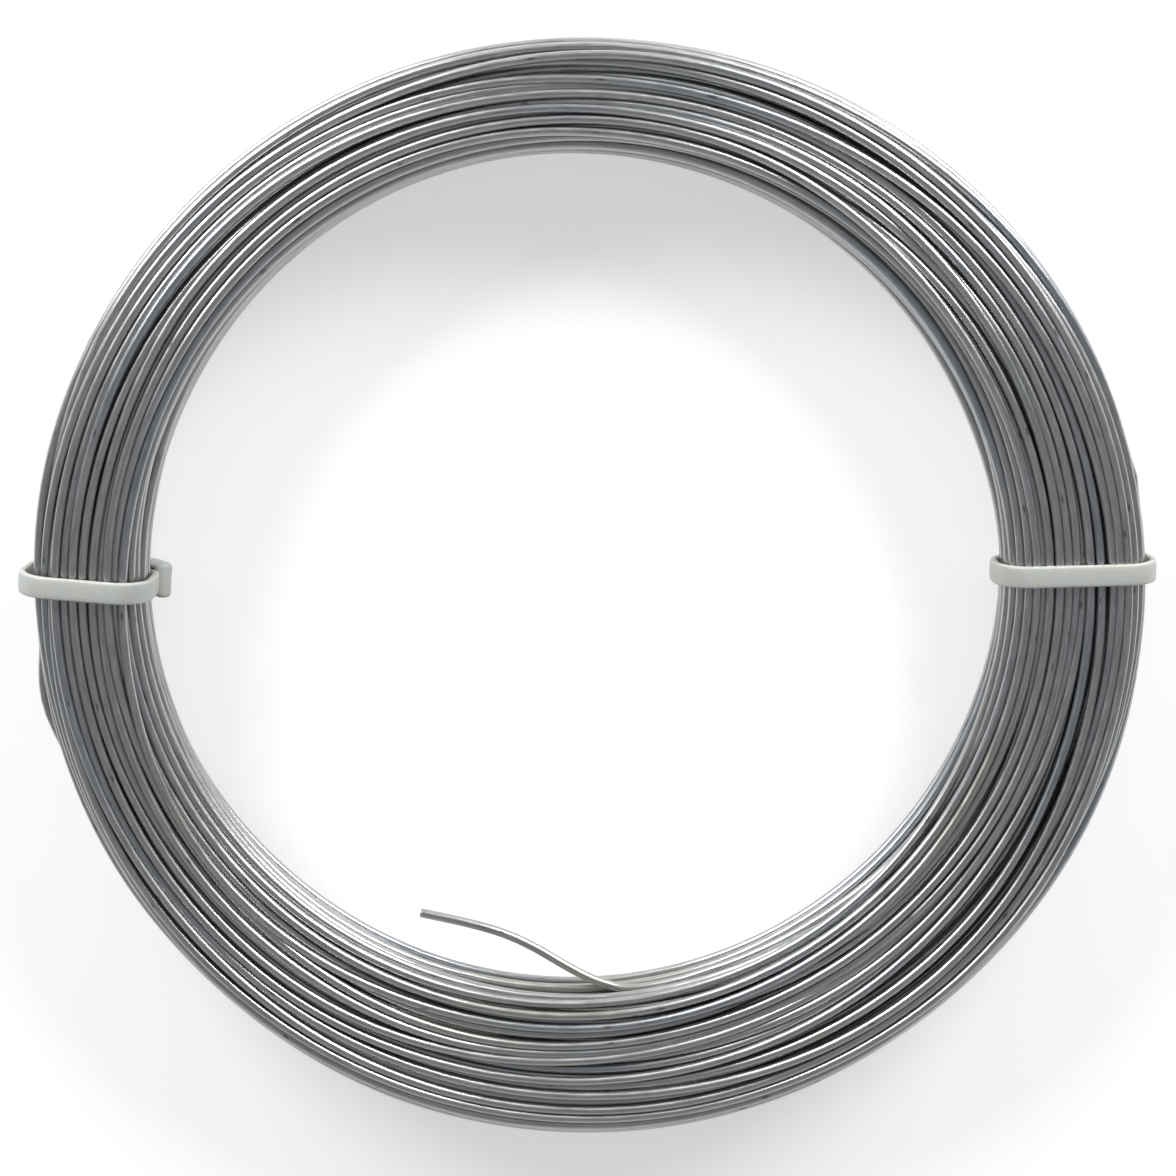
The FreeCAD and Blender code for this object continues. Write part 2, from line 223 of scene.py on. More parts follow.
def makeDrawnGrain():
    # lengthwise die lines and a fine mottle; Place is (along, side, side) in mm on the straightened piece
    group, given, out = newGroup(
        "drawnGrain",
        [("Place", "NodeSocketVector", None), ("Line Scale", "NodeSocketFloat", 9.0),
         ("Mottle Scale", "NodeSocketFloat", 2.2)],
        [("Lines", "NodeSocketFloat"), ("Mottle", "NodeSocketFloat"), ("Height", "NodeSocketFloat")])
    place = given.outputs["Place"]
    drawn, dappled = stretchNode(group, place, (0.012, 1, 1)), stretchNode(group, place, (0.10, 1, 1))
    lines = noiseNode(group, drawn, given.outputs["Line Scale"], 3.0, 0.6)
    mottle = noiseNode(group, dappled, given.outputs["Mottle Scale"], 3.0, 0.6)
    ridges = mathNode(group, "MULTIPLY", lines, 0.6)
    height = mathNode(group, "ADD", ridges, mathNode(group, "MULTIPLY", mottle, 0.4))
    group.links.new(lines, out.inputs["Lines"])
    group.links.new(mottle, out.inputs["Mottle"])
    group.links.new(height, out.inputs["Height"])
    return group


def makeSpecks():
    # small dark nicks and dust: a mask of scattered spots
    group, given, out = newGroup(
        "specks",
        [("Place", "NodeSocketVector", None), ("Scale", "NodeSocketFloat", 1.0),
         ("Size", "NodeSocketFloat", 0.12), ("Share", "NodeSocketFloat", 0.2)],
        [("Mask", "NodeSocketFloat")])
    cells = group.nodes.new("ShaderNodeTexVoronoi")
    group.links.new(given.outputs["Place"], cells.inputs["Vector"])
    group.links.new(given.outputs["Scale"], cells.inputs["Scale"])
    pick = group.nodes.new("ShaderNodeSeparateColor")
    group.links.new(cells.outputs["Color"], pick.inputs[0])
    chosen = mathNode(group, "LESS_THAN", pick.outputs[0], given.outputs["Share"])
    size = mathNode(group, "MULTIPLY", given.outputs["Size"], pick.outputs[1])
    spot = rangeNode(group, mathNode(group, "DIVIDE", cells.outputs["Distance"], size), 1.0, 0.55)
    group.links.new(mathNode(group, "MULTIPLY", chosen, spot), out.inputs["Mask"])
    return group


def makeToneDrift():
    # slow change between three tones, for zinc that dulls unevenly and nylon that yellows unevenly
    group, given, out = newGroup(
        "toneDrift",
        [("Place", "NodeSocketVector", None), ("Scale", "NodeSocketFloat", 1.0),
         ("Main Tone", "NodeSocketColor", (0.4, 0.4, 0.4, 1)),
         ("Cool Tone", "NodeSocketColor", (0.4, 0.4, 0.4, 1)),
         ("Warm Tone", "NodeSocketColor", (0.4, 0.4, 0.4, 1))],
        [("Color", "NodeSocketColor")])
    place = given.outputs["Place"]
    cool = rangeNode(group, noiseNode(group, place, given.outputs["Scale"], 2.0), 0.48, 0.66)
    apart = group.nodes.new("ShaderNodeVectorMath")
    apart.operation = "ADD"
    group.links.new(place, apart.inputs[0])
    apart.inputs[1].default_value = (37.0, 11.0, 5.0)
    warm = rangeNode(group, noiseNode(group, apart.outputs[0], given.outputs["Scale"], 2.0), 0.5, 0.7)
    first = mixColour(group, cool, given.outputs["Main Tone"], given.outputs["Cool Tone"])
    group.links.new(mixColour(group, warm, first, given.outputs["Warm Tone"]), out.inputs["Color"])
    return group


def useGroup(nodes, links, group, **given):
    node = nodes.new("ShaderNodeGroup")
    node.node_tree = group
    for label, value in given.items():
        socket = node.inputs[label.replace("_", " ")]
        if isinstance(value, (int, float)):
            socket.default_value = value
        elif isinstance(value, tuple):
            socket.default_value = (*value, 1)
        else:
            links.new(value, socket)
    return node


def placeAttribute(nodes, name):
    node = nodes.new("ShaderNodeAttribute")
    node.attribute_name = name
    return node.outputs["Vector"]


zinc = {
    "mainTone": (0.485, 0.487, 0.485),
    "coolTone": (0.37, 0.39, 0.42),
    "warmTone": (0.47, 0.475, 0.425),
    "lineScale": 7.0,
    "lineShade": (0.82, 1.12),        # how dark and how light the die lines make the tone
    "mottleScale": 2.6,
    "mottleShade": (0.88, 1.08),
    "nickSize": 0.34,
    "nickShare": 0.16,
    "nickShade": 0.45,
    "roughness": (0.27, 0.38),
    "bumpStrength": 0.08,
    "bumpDistance": 0.00003,          # m
}


def makeZinc(grain, specks, drift):
    mat, nodes, links, shader = newMaterial("galvanised_wire")
    tree = mat.node_tree
    place = placeAttribute(nodes, "wirePlace")
    grainNode = useGroup(nodes, links, grain, Place=place, Line_Scale=zinc["lineScale"],
                         Mottle_Scale=zinc["mottleScale"])
    slow = stretchNode(tree, place, (0.012, 0.02, 0.02))
    driftNode = useGroup(nodes, links, drift, Place=slow, Scale=1.0, Main_Tone=zinc["mainTone"],
                         Cool_Tone=zinc["coolTone"], Warm_Tone=zinc["warmTone"])
    nickPlace = stretchNode(tree, place, (0.22, 0.8, 0.8))
    nickNode = useGroup(nodes, links, specks, Place=nickPlace, Scale=1.0, Size=zinc["nickSize"],
                        Share=zinc["nickShare"])
    shade = rangeNode(tree, grainNode.outputs["Lines"], 0.3, 0.7, *zinc["lineShade"])
    dapple = rangeNode(tree, grainNode.outputs["Mottle"], 0.3, 0.7, *zinc["mottleShade"])
    shade = mathNode(tree, "MULTIPLY", shade, dapple)
    nicks = rangeNode(tree, nickNode.outputs["Mask"], 0, 1, 1.0, zinc["nickShade"])
    shade = mathNode(tree, "MULTIPLY", shade, nicks)
    links.new(shaded(tree, driftNode.outputs["Color"], shade), shader.inputs["Base Color"])
    rough = rangeNode(tree, grainNode.outputs["Mottle"], 0.3, 0.72, *zinc["roughness"])
    links.new(rough, shader.inputs["Roughness"])
    shader.inputs["Metallic"].default_value = 1.0
    bump = nodes.new("ShaderNodeBump")
    bump.inputs["Strength"].default_value = zinc["bumpStrength"]
    bump.inputs["Distance"].default_value = zinc["bumpDistance"]
    links.new(grainNode.outputs["Height"], bump.inputs["Height"])
    links.new(bump.outputs["Normal"], shader.inputs["Normal"])
    return mat


nylon = {
    "mainTone": (0.405, 0.415, 0.39),
    "coolTone": (0.39, 0.41, 0.395),
    "warmTone": (0.41, 0.405, 0.37),
    "toneScale": 0.16,
    "skinShade": (0.95, 1.05),
    "dustScale": 0.9,
    "dustSize": 0.12,
    "dustShare": 0.25,
    "dustShade": 0.8,
    "roughness": (0.42, 0.55),
    "bumpStrength": 0.4,
    "bumpDistance": 0.00006,          # m
    "glow": 0.25,                     # share of the light that goes on inside it
    "glowColours": (1.0, 0.95, 0.8),
    "glowDepth": 0.0012,              # m
}


def makeNylon(specks, drift):
    mat, nodes, links, shader = newMaterial("natural_nylon")
    tree = mat.node_tree
    place = placeAttribute(nodes, "tiePlace")
    driftNode = useGroup(nodes, links, drift, Place=place, Scale=nylon["toneScale"],
                         Main_Tone=nylon["mainTone"], Cool_Tone=nylon["coolTone"],
                         Warm_Tone=nylon["warmTone"])
    dustNode = useGroup(nodes, links, specks, Place=place, Scale=nylon["dustScale"],
                        Size=nylon["dustSize"], Share=nylon["dustShare"])
    skin = noiseNode(tree, place, 3.0, 4.0, 0.6)
    fine = noiseNode(tree, place, 11.0, 2.0, 0.5)
    shade = rangeNode(tree, skin, 0.3, 0.7, *nylon["skinShade"])
    dust = rangeNode(tree, dustNode.outputs["Mask"], 0, 1, 1.0, nylon["dustShade"])
    shade = mathNode(tree, "MULTIPLY", shade, dust)
    links.new(shaded(tree, driftNode.outputs["Color"], shade), shader.inputs["Base Color"])
    links.new(rangeNode(tree, skin, 0.3, 0.7, *nylon["roughness"]), shader.inputs["Roughness"])
    shader.inputs["Subsurface Weight"].default_value = nylon["glow"]
    shader.inputs["Subsurface Radius"].default_value = nylon["glowColours"]
    shader.inputs["Subsurface Scale"].default_value = nylon["glowDepth"]
    bump = nodes.new("ShaderNodeBump")
    bump.inputs["Strength"].default_value = nylon["bumpStrength"]
    bump.inputs["Distance"].default_value = nylon["bumpDistance"]
    dimples = mathNode(tree, "MULTIPLY", skin, 0.7)
    height = mathNode(tree, "ADD", dimples, mathNode(tree, "MULTIPLY", fine, 0.3))
    links.new(height, bump.inputs["Height"])
    links.new(bump.outputs["Normal"], shader.inputs["Normal"])
    return mat


# the wire's winding, worked out in mm as radius and height at even steps round the coil

wire = {
    "diameter": 1.6,
    "turns": 110,
    "steps": 72,             # places per turn while the turns settle
    "fine": 3,               # mesh rings per place
    "sides": 12,
    "stretches": 6,          # pieces that the mesh is split into
    "startAngle": 287.0,     # where the free end joins the bundle
    "seed": 7,
    "rounds": (420, 360),    # before and after the grooves and crossings are put in
    "quickRounds": (60, 60),
    "pairRounds": 6,         # between two searches for the turns that lie close together
    "pairReach": 1.45,       # diameters that such turns are apart at the most
    "pushShare": 0.6,        # of an overlap that one round takes away
    "stiffness": (0.5, 0.3),  # in the earlier rounds, and in the later ones
    "stiffRounds": 0.6,      # share of the rounds that are the earlier ones
    "holdShare": 0.5,        # of the way back to the outline, or out of a groove, in one round
    "guideShare": 0.4,       # of the way to its guide that a crossing turn goes in one round
    "calmRounds": 160,
    "calmReach": 7,          # places that ease together
    "sharpest": 0.10,        # mm off the straight line between the places on both sides
    "swapShare": 0.45,       # how often turns are laid out of order
    "swapReach": (2, 9),
    "wanders": 12,           # slow waves that the turns are first laid with
    "wanderReach": 0.25,
    "lastPlace": (2.0, -2.0),         # off the section's middle, where the last turn is tucked in
}

bundle = {
    "outerRadius": 93.2,
    "eyeRadius": 71.1,
    "eyeShift": 5.0,         # the eye lies off centre, towards the upper left of the picture
    "eyeShiftAngle": 120.6,
    "middleHeight": (10.2, 10.9),    # where the bundle is narrow, and where it is wide
    "underside": 3.58,       # at the ties
    "cornerRadius": 5.16,
    "lowCorner": 3.0,        # the eye's lower edge is sharper away from the ties
    "lean": 2.0,             # and its lower turns lie further in where the bundle is wide
    "firstLean": 2.5,        # times the lean, as the turns are first laid
    "fill": (0.83, 0.74),    # share of the section that is wire, where narrow and where wide
    "fillAtTies": (0.835, 0.88),     # at the right tie and at the left one
    "squeezeReach": 15.0,    # degrees each side of a tie
    "pressReach": 30.0,      # degrees each side of a tie where it presses on turns that stand out
    "pinch": (0.1, 0.65),    # how far each tie pulls the outer turns in
    "unevenness": 0.9,       # mm, the deepest dip
    "dips": 12,              # waves that the dips are made of
    "dipReach": (0.08, 0.2),
    "dipMean": 0.15,
    "grooveEase": 8.0,       # degrees that a groove takes to open, and to close again
    "grooveRise": 0.3,       # a groove moves the turns beside it less up or down than sideways
    "crossingLift": 0.5,
    "crossingEase": 5.0,     # a crossing turn is led fully after one part in this many
}

ties = {
    "bearings": (4.2, 175.8),
    "skews": (-3.4, 1.4),    # degrees off square to the bundle
    "width": 3.6,
    "thickness": 1.1,
    "clearance": 0.12,
    "outerFace": 94.72,
    "cornerRadius": 5.1,
    "edgeRadius": 0.34,
    "toothPitch": 0.72,
    "toothDepth": 0.16,
    "toothInset": 0.12,
    "sideFoot": 0.24,        # the strap's sides start there, above the teeth
    "crown": 0.05,
    "headTurns": (0.0, 45.0),         # degrees from straight down, towards the eye
    "headLength": 5.5,
    "headWidth": 6.0,
    "headHeight": 2.3,
    "slotPlay": (0.28, 0.25),         # along the head, and across it
}

# how far the outside stands out or in: angle, reach
outerWaves = [
    (8, 0.3), (36, 0.1), (84, 0.1), (110, 0.8), (150, -0.1), (172, 0.2), (198, -1.0), (222, -0.8),
    (256, 0.8), (268, 0.2), (285, 0.0), (312, -0.9), (336, 0.0), (354, 0.3),
]

# dark grooves on top: from and to angle, from and to radius, width
grooves = [
    (329, 383, 86.5, 85.2, 1.0),
    (24, 40, 81.6, 81.5, 0.5),
    (58, 98, 83.9, 83.3, 0.9),
    (84, 112, 88.6, 88.4, 0.4),
    (112, 146, 88.1, 87.9, 0.8),
    (192, 222, 85.4, 85.2, 0.5),
    (214, 240, 82.5, 82.9, 0.5),
    (246, 287, 86.2, 85.3, 1.2),
    (241, 263, 83.3, 83.4, 0.4),
    (240, 276, 81.0, 80.4, 0.9),
    (288, 320, 82.0, 82.0, 0.8),
    (276, 303, 79.7, 79.4, 0.7),
    (64, 90, 79.2, 79.0, 0.5),
]

# turns that cross over their neighbours on top: from and to angle, from and to radius
crossings = [
    (282, 330, 85.2, 87.2),
    (258, 300, 79.0, 75.2),
    (15, 49, 76.0, 74.4),
    (15, 41, 88.3, 88.0),
    (136, 168, 83.0, 80.2),
    (84, 126, 92.0, 89.0),
    (194, 230, 76.5, 79.0),
    (26, 62, 79.5, 81.5),
    (52, 92, 86.5, 84.6),
    (66, 106, 81.0, 82.8),
    (100, 140, 84.2, 86.0),
    (118, 156, 80.2, 78.6),
    (186, 226, 87.8, 85.6),
    (206, 246, 81.0, 83.0),
    (226, 266, 76.2, 78.0),
    (300, 340, 80.6, 78.6),
    (312, 350, 90.2, 88.4),
    (322, 356, 83.6, 81.8),
]

# outer turns that stand off the bundle: angle, reach in degrees, height, lift
strays = [
    (188.5, 8.0, 11.5, 1.5),
    (150.6, 3.0, 12.0, 0.35),
    (13.5, 2.6, 11.0, 0.4),
]

freeEnd = {
    # from the cut tip to the eye's wall, mm
    "points": [(-29.9, -53.2, 9.3), (-24.7, -54.4, 9.3), (-19.5, -55.7, 9.4), (-14.4, -57.4, 9.5),
               (-9.1, -60.2, 9.7), (-2.0, -64.9, 10.0), (3.5, -66.9, 10.3), (6.9, -67.3, 10.4),
               (13.3, -66.0, 10.5)],
    "wallHeight": 10.5,
    "wallReach": 21.0,       # degrees of the wall that the free end lies along
    "wallEase": 6.0,
    "heldPlaces": 4,         # places of the first turn that are held at the wall
    "leadIn": 4.0,
    "sides": 12,
    "step": 12,
    "tipBevel": 0.16,
}


def ease(x):
    x = np.clip(x, 0, 1)
    return x * x * (3 - 2 * x)


def awayFrom(angle, centre):
    return np.abs((angle - centre + 180) % 360 - 180)


def sectionAt(angle):
    # eye radius, width, depth and middle height of the bundle, its lower inner edge and its lean
    lean, shift = np.radians(angle - bundle["eyeShiftAngle"]), bundle["eyeShift"]
    inner = shift * np.cos(lean) + np.sqrt(bundle["eyeRadius"] ** 2 - (shift * np.sin(lean)) ** 2)
    wide = (1 - np.cos(lean)) / 2
    away = [awayFrom(angle, bearing) for bearing in ties["bearings"]]
    near = [np.exp(-(part / bundle["squeezeReach"]) ** 2) for part in away]
    squeeze = sum(near)
    wave = np.interp(angle, *zip(*outerWaves), period=360)
    outer = bundle["outerRadius"] + wave - sum(pull * part for pull, part in zip(bundle["pinch"], near))
    width = outer - inner
    loose = np.interp(wide, (0, 1), bundle["fill"])
    fill = loose + sum((tight - loose) * part for tight, part in zip(bundle["fillAtTies"], near))
    area = wire["turns"] * math.pi * (wire["diameter"] / 2) ** 2 / fill
    depth = (area + (4 - math.pi) * bundle["cornerRadius"] ** 2) / width
    free = np.interp(wide, (0, 1), bundle["middleHeight"])
    middle = free * (1 - squeeze) + (bundle["underside"] + depth / 2) * squeeze
    lowCorner = bundle["lowCorner"] + (bundle["cornerRadius"] - bundle["lowCorner"]) * squeeze
    return inner, width, depth, middle, lowCorner, bundle["lean"] * wide * (1 - squeeze)


def layGrid(count, width, depth, corner):
    # a close-packed grid of places that puts the wanted number inside a rounded rectangle
    low, high = 1.0, 2.4
    for _ in range(50):
        pitch = (low + high) / 2
        column = pitch * math.sqrt(3) / 2
        i, j = np.meshgrid(np.arange(-int(width / pitch) - 3, int(width / pitch) + 4),
                           np.arange(-int(depth / pitch) - 3, int(depth / pitch) + 4))
        x = i * column
        y = (j + 0.5 * (i % 2)) * pitch
        pastX, pastY = np.abs(x) - width / 2 + corner, np.abs(y) - depth / 2 + corner
        bulge = np.hypot(np.maximum(pastX, 0), np.maximum(pastY, 0))
        outside = bulge + np.minimum(np.maximum(pastX, pastY), 0) - corner
        found = int((outside <= 0).sum())
        if found == count:
            break
        low, high = (pitch, high) if found > count else (low, pitch)
    inside = np.argsort(outside, axis=None)[:count]
    return x.flat[inside], y.flat[inside], np.round(x.flat[inside] / column).astype(int)


def windingOrder(y, columns, rng):
    # up one column and down the next, with some turns a few places off
    order = []
    for place, column in enumerate(sorted(set(columns))):
        order += sorted(np.flatnonzero(columns == column), key=lambda i: y[i], reverse=place % 2 == 0)
    for first in range(0, len(order) - 9, 3):
        if rng.random() < wire["swapShare"]:
            second = first + int(rng.integers(*wire["swapReach"]))
            order[first], order[second] = order[second], order[first]
    return order


def firstLay(section, rng):
    turns, steps, diameter = wire["turns"], wire["steps"], wire["diameter"]
    inner, width, depth, middle, _, lean = section
    meanWidth, meanDepth = width.mean() - diameter, depth.mean() - diameter
    x, y, columns = layGrid(turns, meanWidth, meanDepth, bundle["cornerRadius"] - diameter / 2)
    places = np.stack([x, y], 1)[windingOrder(y, columns, rng)]
    places = np.vstack([places, wire["lastPlace"]])
    along = np.arange(steps) / steps
    path = np.empty((turns, steps, 2))
    for turn in range(turns):
        mid, half = rng.uniform(0.2, 0.8), rng.uniform(0.12, 0.38)
        moved = ease((along - mid + half) / (2 * half))[:, None]
        path[turn] = places[turn] * (1 - moved) + places[turn + 1] * moved
    turnCount = np.arange(turns * steps)[:, None] / steps
    for _ in range(wire["wanders"]):
        waves, phase = rng.uniform(0.3, 2.6), rng.uniform(0, 2 * math.pi, 2)
        reach = rng.normal(0, wire["wanderReach"], 2)
        path += (reach * np.sin(2 * math.pi * waves * turnCount + phase)).reshape(turns, steps, 2)
    low = np.clip(-path[:, :, 0] / meanWidth * 2, 0, 1) * np.clip(-path[:, :, 1] / meanDepth * 2, 0, 1)
    path[:, :, 0] = inner + width / 2 + path[:, :, 0] * (width - diameter) / meanWidth
    path[:, :, 0] -= bundle["firstLean"] * lean * low
    path[:, :, 1] = middle + path[:, :, 1] * (depth - diameter) / meanDepth
    return path.reshape(turns * steps, 2)


def closePairs(path):
    turns, steps = wire["turns"], wire["steps"]
    places = path.reshape(turns, steps, 2).transpose(1, 0, 2)
    apart = places[:, :, None, :] - places[:, None, :, :]
    near = (apart ** 2).sum(-1) < (wire["diameter"] * wire["pairReach"]) ** 2
    near &= np.triu(np.ones((turns, turns), bool), 1)
    step, first, second = np.nonzero(near)
    return first * steps + step, second * steps + step


def pushApart(path, first, second):
    gap = path[first] - path[second]
    distance = np.sqrt((gap ** 2).sum(1)) + 1e-6
    push = gap * (np.clip(wire["diameter"] - distance, 0, None) / distance * 0.5)[:, None]
    for axis in range(2):
        ahead, behind = [np.bincount(turn, push[:, axis], len(path)) for turn in (first, second)]
        path[:, axis] += wire["pushShare"] * (ahead - behind)


def eyeBows(inner):
    # what a turn round the eye's own middle is off the line between its places one and two steps away
    return [(np.roll(inner, far) + np.roll(inner, -far)) / 2 - inner for far in (1, 2)]


def stiffen(path, grid, section, bows, stiff):
    # the wire is stiff along its length, as easy round the eye's own middle as round the coil's
    inner, width = section[:2]
    share = np.clip(1 - (grid[:, :, 0] - inner) / width, 0, 1)
    bow, wideBow = [(share * bent).ravel() for bent in bows]
    path[1:-1] += stiff * ((path[:-2] + path[2:]) / 2 - path[1:-1])
    path[1:-1, 0] -= stiff * bow[1:-1]
    path[2:-2] += stiff / 2 * ((path[:-4] + path[4:]) / 2 - path[2:-2])
    path[2:-2, 0] -= stiff / 2 * wideBow[2:-2]


def openGaps(grid, gaps):
    for radius, height, reach in gaps:
        there = reach > 0.02
        across, up = grid[:, there, 0] - radius[there], grid[:, there, 1] - height[there]
        distance = np.sqrt(across ** 2 + up ** 2) + 1e-6
        short = np.clip(wire["diameter"] / 2 + reach[there] - distance, 0, None)
        aside = short / distance * wire["holdShare"]
        grid[:, there, 0] += across * aside
        grid[:, there, 1] += up * aside * bundle["grooveRise"]


def followGuides(path, guides):
    for turn, place, radius, height, hold in guides:
        flat = turn * wire["steps"] + place
        path[flat, 0] += (radius - path[flat, 0]) * wire["guideShare"] * hold
        path[flat, 1] += (height - path[flat, 1]) * wire["guideShare"] * hold


def holdInOutline(grid, section, hollow):
    diameter = wire["diameter"]
    inner, width, depth, middle, lowCorner, lean = section
    halfWidth, halfDepth = (width - diameter) / 2, (depth - diameter) / 2
    across, up = grid[:, :, 0] - (inner + width / 2), grid[:, :, 1] - middle
    across += lean * np.clip(-up / halfDepth, 0, 1) * np.clip(-across / halfWidth, 0, 1)
    sunk = hollow(np.arctan2(up / halfDepth, across / halfWidth))
    corner = np.where((across < 0) & (up < 0), lowCorner, bundle["cornerRadius"]) - diameter / 2
    pastX = np.maximum(np.abs(across) - (halfWidth - corner), 0)
    pastY = np.maximum(np.abs(up) - (halfDepth - corner), 0)
    past = np.maximum(np.hypot(pastX, pastY), 1e-6)
    back = np.clip(past - (corner - sunk), 0, None) / past * wire["holdShare"]
    grid[:, :, 0] -= np.sign(across) * pastX * back
    grid[:, :, 1] -= np.sign(up) * pastY * back


def settle(path, rounds, section, hollow, gaps=(), guides=()):
    # the turns push each other into place inside the bundle's outline, a little in each round
    grid = path.reshape(wire["turns"], wire["steps"], 2)
    bows = eyeBows(section[0])
    for each in range(rounds):
        if each % wire["pairRounds"] == 0:
            first, second = closePairs(path)
        pushApart(path, first, second)
        stiff = wire["stiffness"][0] if each < rounds * wire["stiffRounds"] else wire["stiffness"][1]
        stiffen(path, grid, section, bows, stiff)
        openGaps(grid, gaps)
        followGuides(path, guides)
        holdInOutline(grid, section, hollow)
    return path


def calm(path):
    # eases the places where the wire would bend more sharply than stiff wire does
    reach = np.ones(wire["calmReach"])
    for _ in range(wire["calmRounds"]):
        off = (path[:-2] + path[2:]) / 2 - path[1:-1]
        sharp = np.clip(np.hypot(off[:, 0], off[:, 1]) * 2 / wire["sharpest"] - 1, 0, 1)
        path[1:-1] += 0.5 * np.clip(np.convolve(sharp, reach, "same"), 0, 1)[:, None] * off
    return path


def holdUnderTies(angle, path):
    # a turn that stands out where a strap goes round is pressed in there, and less and less beside it
    grid = path.reshape(wire["turns"], wire["steps"], 2)
    bend = bundle["cornerRadius"] - wire["diameter"] / 2
    for bearing in ties["bearings"]:
        inner, width, depth, middle = sectionAt(bearing)[:4]
        half = (np.array([width, depth]) - wire["diameter"]) / 2
        away = awayFrom(angle, bearing)
        pressed = np.cos(np.clip(away / bundle["pressReach"], 0, 1) * math.pi / 2) ** 2
        for under in np.argsort(away)[:2]:
            off = grid[:, under] - (inner + width / 2, middle)
            past = np.maximum(np.abs(off) - (half - bend), 0)
            length = np.maximum(np.hypot(past[:, 0], past[:, 1]), 1e-6)
            over = np.sign(off) * past * (np.clip(length - bend, 0, None) / length)[:, None]
            grid -= over[:, None] * pressed[None, :, None]
    return path


def makeHollows(angle, rng):
    # shallow dips that run slowly round the bundle's surface
    waves = [(int(rng.integers(1, 4)), int(rng.integers(4, 13)),
              rng.uniform(0, 2 * math.pi), rng.uniform(*bundle["dipReach"]))
             for _ in range(bundle["dips"])]
    around = np.radians(angle)[None]

    def hollow(side):
        dips = [reach * np.sin(along * around + across * side + phase)
                for along, across, phase, reach in waves]
        return np.clip(sum(dips) + bundle["dipMean"], 0, bundle["unevenness"])
    return hollow


def fromAngle(angle, start):
    # degrees past the start, counted from 40 degrees before it
    return (angle - start + 40) % 360 - 40


def grooveGaps(angle, top):
    gaps, slow = [], bundle["grooveEase"]
    for start, end, fromRadius, toRadius, gapWidth in grooves:
        past = fromAngle(angle, start)
        radius = fromRadius + (toRadius - fromRadius) * np.clip(past / (end - start), 0, 1)
        gaps.append((radius, top, gapWidth / 2 * ease(past / slow) * ease((end - start - past) / slow)))
    return gaps


def freeEndGap(angle, wallRadius):
    # room for the free end along the eye's wall
    past = fromAngle(angle, wire["startAngle"] - freeEnd["wallReach"])
    lies = wire["diameter"] / 2 * ease(past / freeEnd["wallEase"]) * (past < freeEnd["wallReach"])
    return wallRadius, np.full(len(angle), freeEnd["wallHeight"]), lies


def crossingGuides(angle, grid, top):
    steps, rate = wire["steps"], bundle["crossingEase"]
    guides = []
    for start, end, fromRadius, toRadius in crossings:
        place = int(round((start - angle[0]) % 360 / 360 * steps)) % steps
        cost = np.abs(grid[:, place, 0] - fromRadius) + 1.5 * np.abs(grid[:, place, 1] - top[place])
        nearest = int(np.argmin(cost[:-1]))
        count = int(round((end - start) / 360 * steps))
        part = np.linspace(0, 1, count)
        where = np.arange(place, place + count)
        radius = fromRadius + (toRadius - fromRadius) * ease(part)
        height = top[where % steps] + bundle["crossingLift"]
        guides.append((nearest, where, radius, height, ease(part * rate) * ease((1 - part) * rate)))
    return guides


def freeEndGuide(wallRadius):
    held = np.arange(freeEnd["heldPlaces"])
    return 0, held, wallRadius[held], np.full(len(held), freeEnd["wallHeight"]), np.ones(len(held))


def windWire():
    rng = np.random.default_rng(wire["seed"])
    angle = wire["startAngle"] + np.arange(wire["steps"]) * 360 / wire["steps"]
    section = sectionAt(angle)
    inner, _, depth, middle = section[:4]
    top = middle + depth / 2 - wire["diameter"] / 2
    wallRadius = inner + wire["diameter"] / 2
    path = firstLay(section, rng)
    hollow = makeHollows(angle, rng)
    firstRounds, lastRounds = wire["rounds"]
    path = settle(path, firstRounds, section, hollow)
    gaps = grooveGaps(angle, top) + [freeEndGap(angle, wallRadius)]
    guides = crossingGuides(angle, path.reshape(wire["turns"], wire["steps"], 2), top)
    guides.append(freeEndGuide(wallRadius))
    path = settle(path, lastRounds, section, hollow, gaps, guides)
    return calm(holdUnderTies(angle, calm(path)))


def splineWeights(parts):
    # uniform cubic B-spline
    t = np.arange(parts) / parts
    second, third = 3 * t ** 3 - 6 * t ** 2 + 4, -3 * t ** 3 + 3 * t ** 2 + 3 * t + 1
    return np.stack([(1 - t) ** 3, second, third, t ** 3], 1) / 6


def refine(points, parts):
    ends = np.vstack([2 * points[:1] - points[1:2], points, 2 * points[-1:] - points[-2:-1]])
    stacked = np.stack([ends[k:len(ends) - 3 + k] for k in range(4)], 1)
    fine = np.einsum("tk,nkc->ntc", splineWeights(parts), stacked).reshape(-1, points.shape[1])
    return np.vstack([fine, points[-1:]])


def liftStrays(angle, path):
    for centre, reach, height, lift in strays:
        away = (angle % 360 - centre + 180) % 360 - 180
        there = np.abs(away) < 1.0
        cost = np.abs(path[:, 1] - height) - 0.7 * path[:, 0] + np.where(there, 0, 1e3)
        past = angle - angle[int(np.argmin(cost))]
        path[:, 0] += lift * np.where(np.abs(past) < reach, np.cos(past / reach * math.pi / 2) ** 2, 0)
    return path


def coilPoints():
    fine = refine(windWire(), wire["fine"])
    step = 360 / wire["steps"] / wire["fine"]
    angle = wire["startAngle"] + np.arange(len(fine)) * step
    fine = liftStrays(angle, fine)
    around = np.radians(angle)
    return np.stack([fine[:, 0] * np.cos(around), fine[:, 0] * np.sin(around), fine[:, 1]], 1)


# meshes

def unit(vectors):
    return vectors / np.linalg.norm(vectors, axis=-1, keepdims=True)


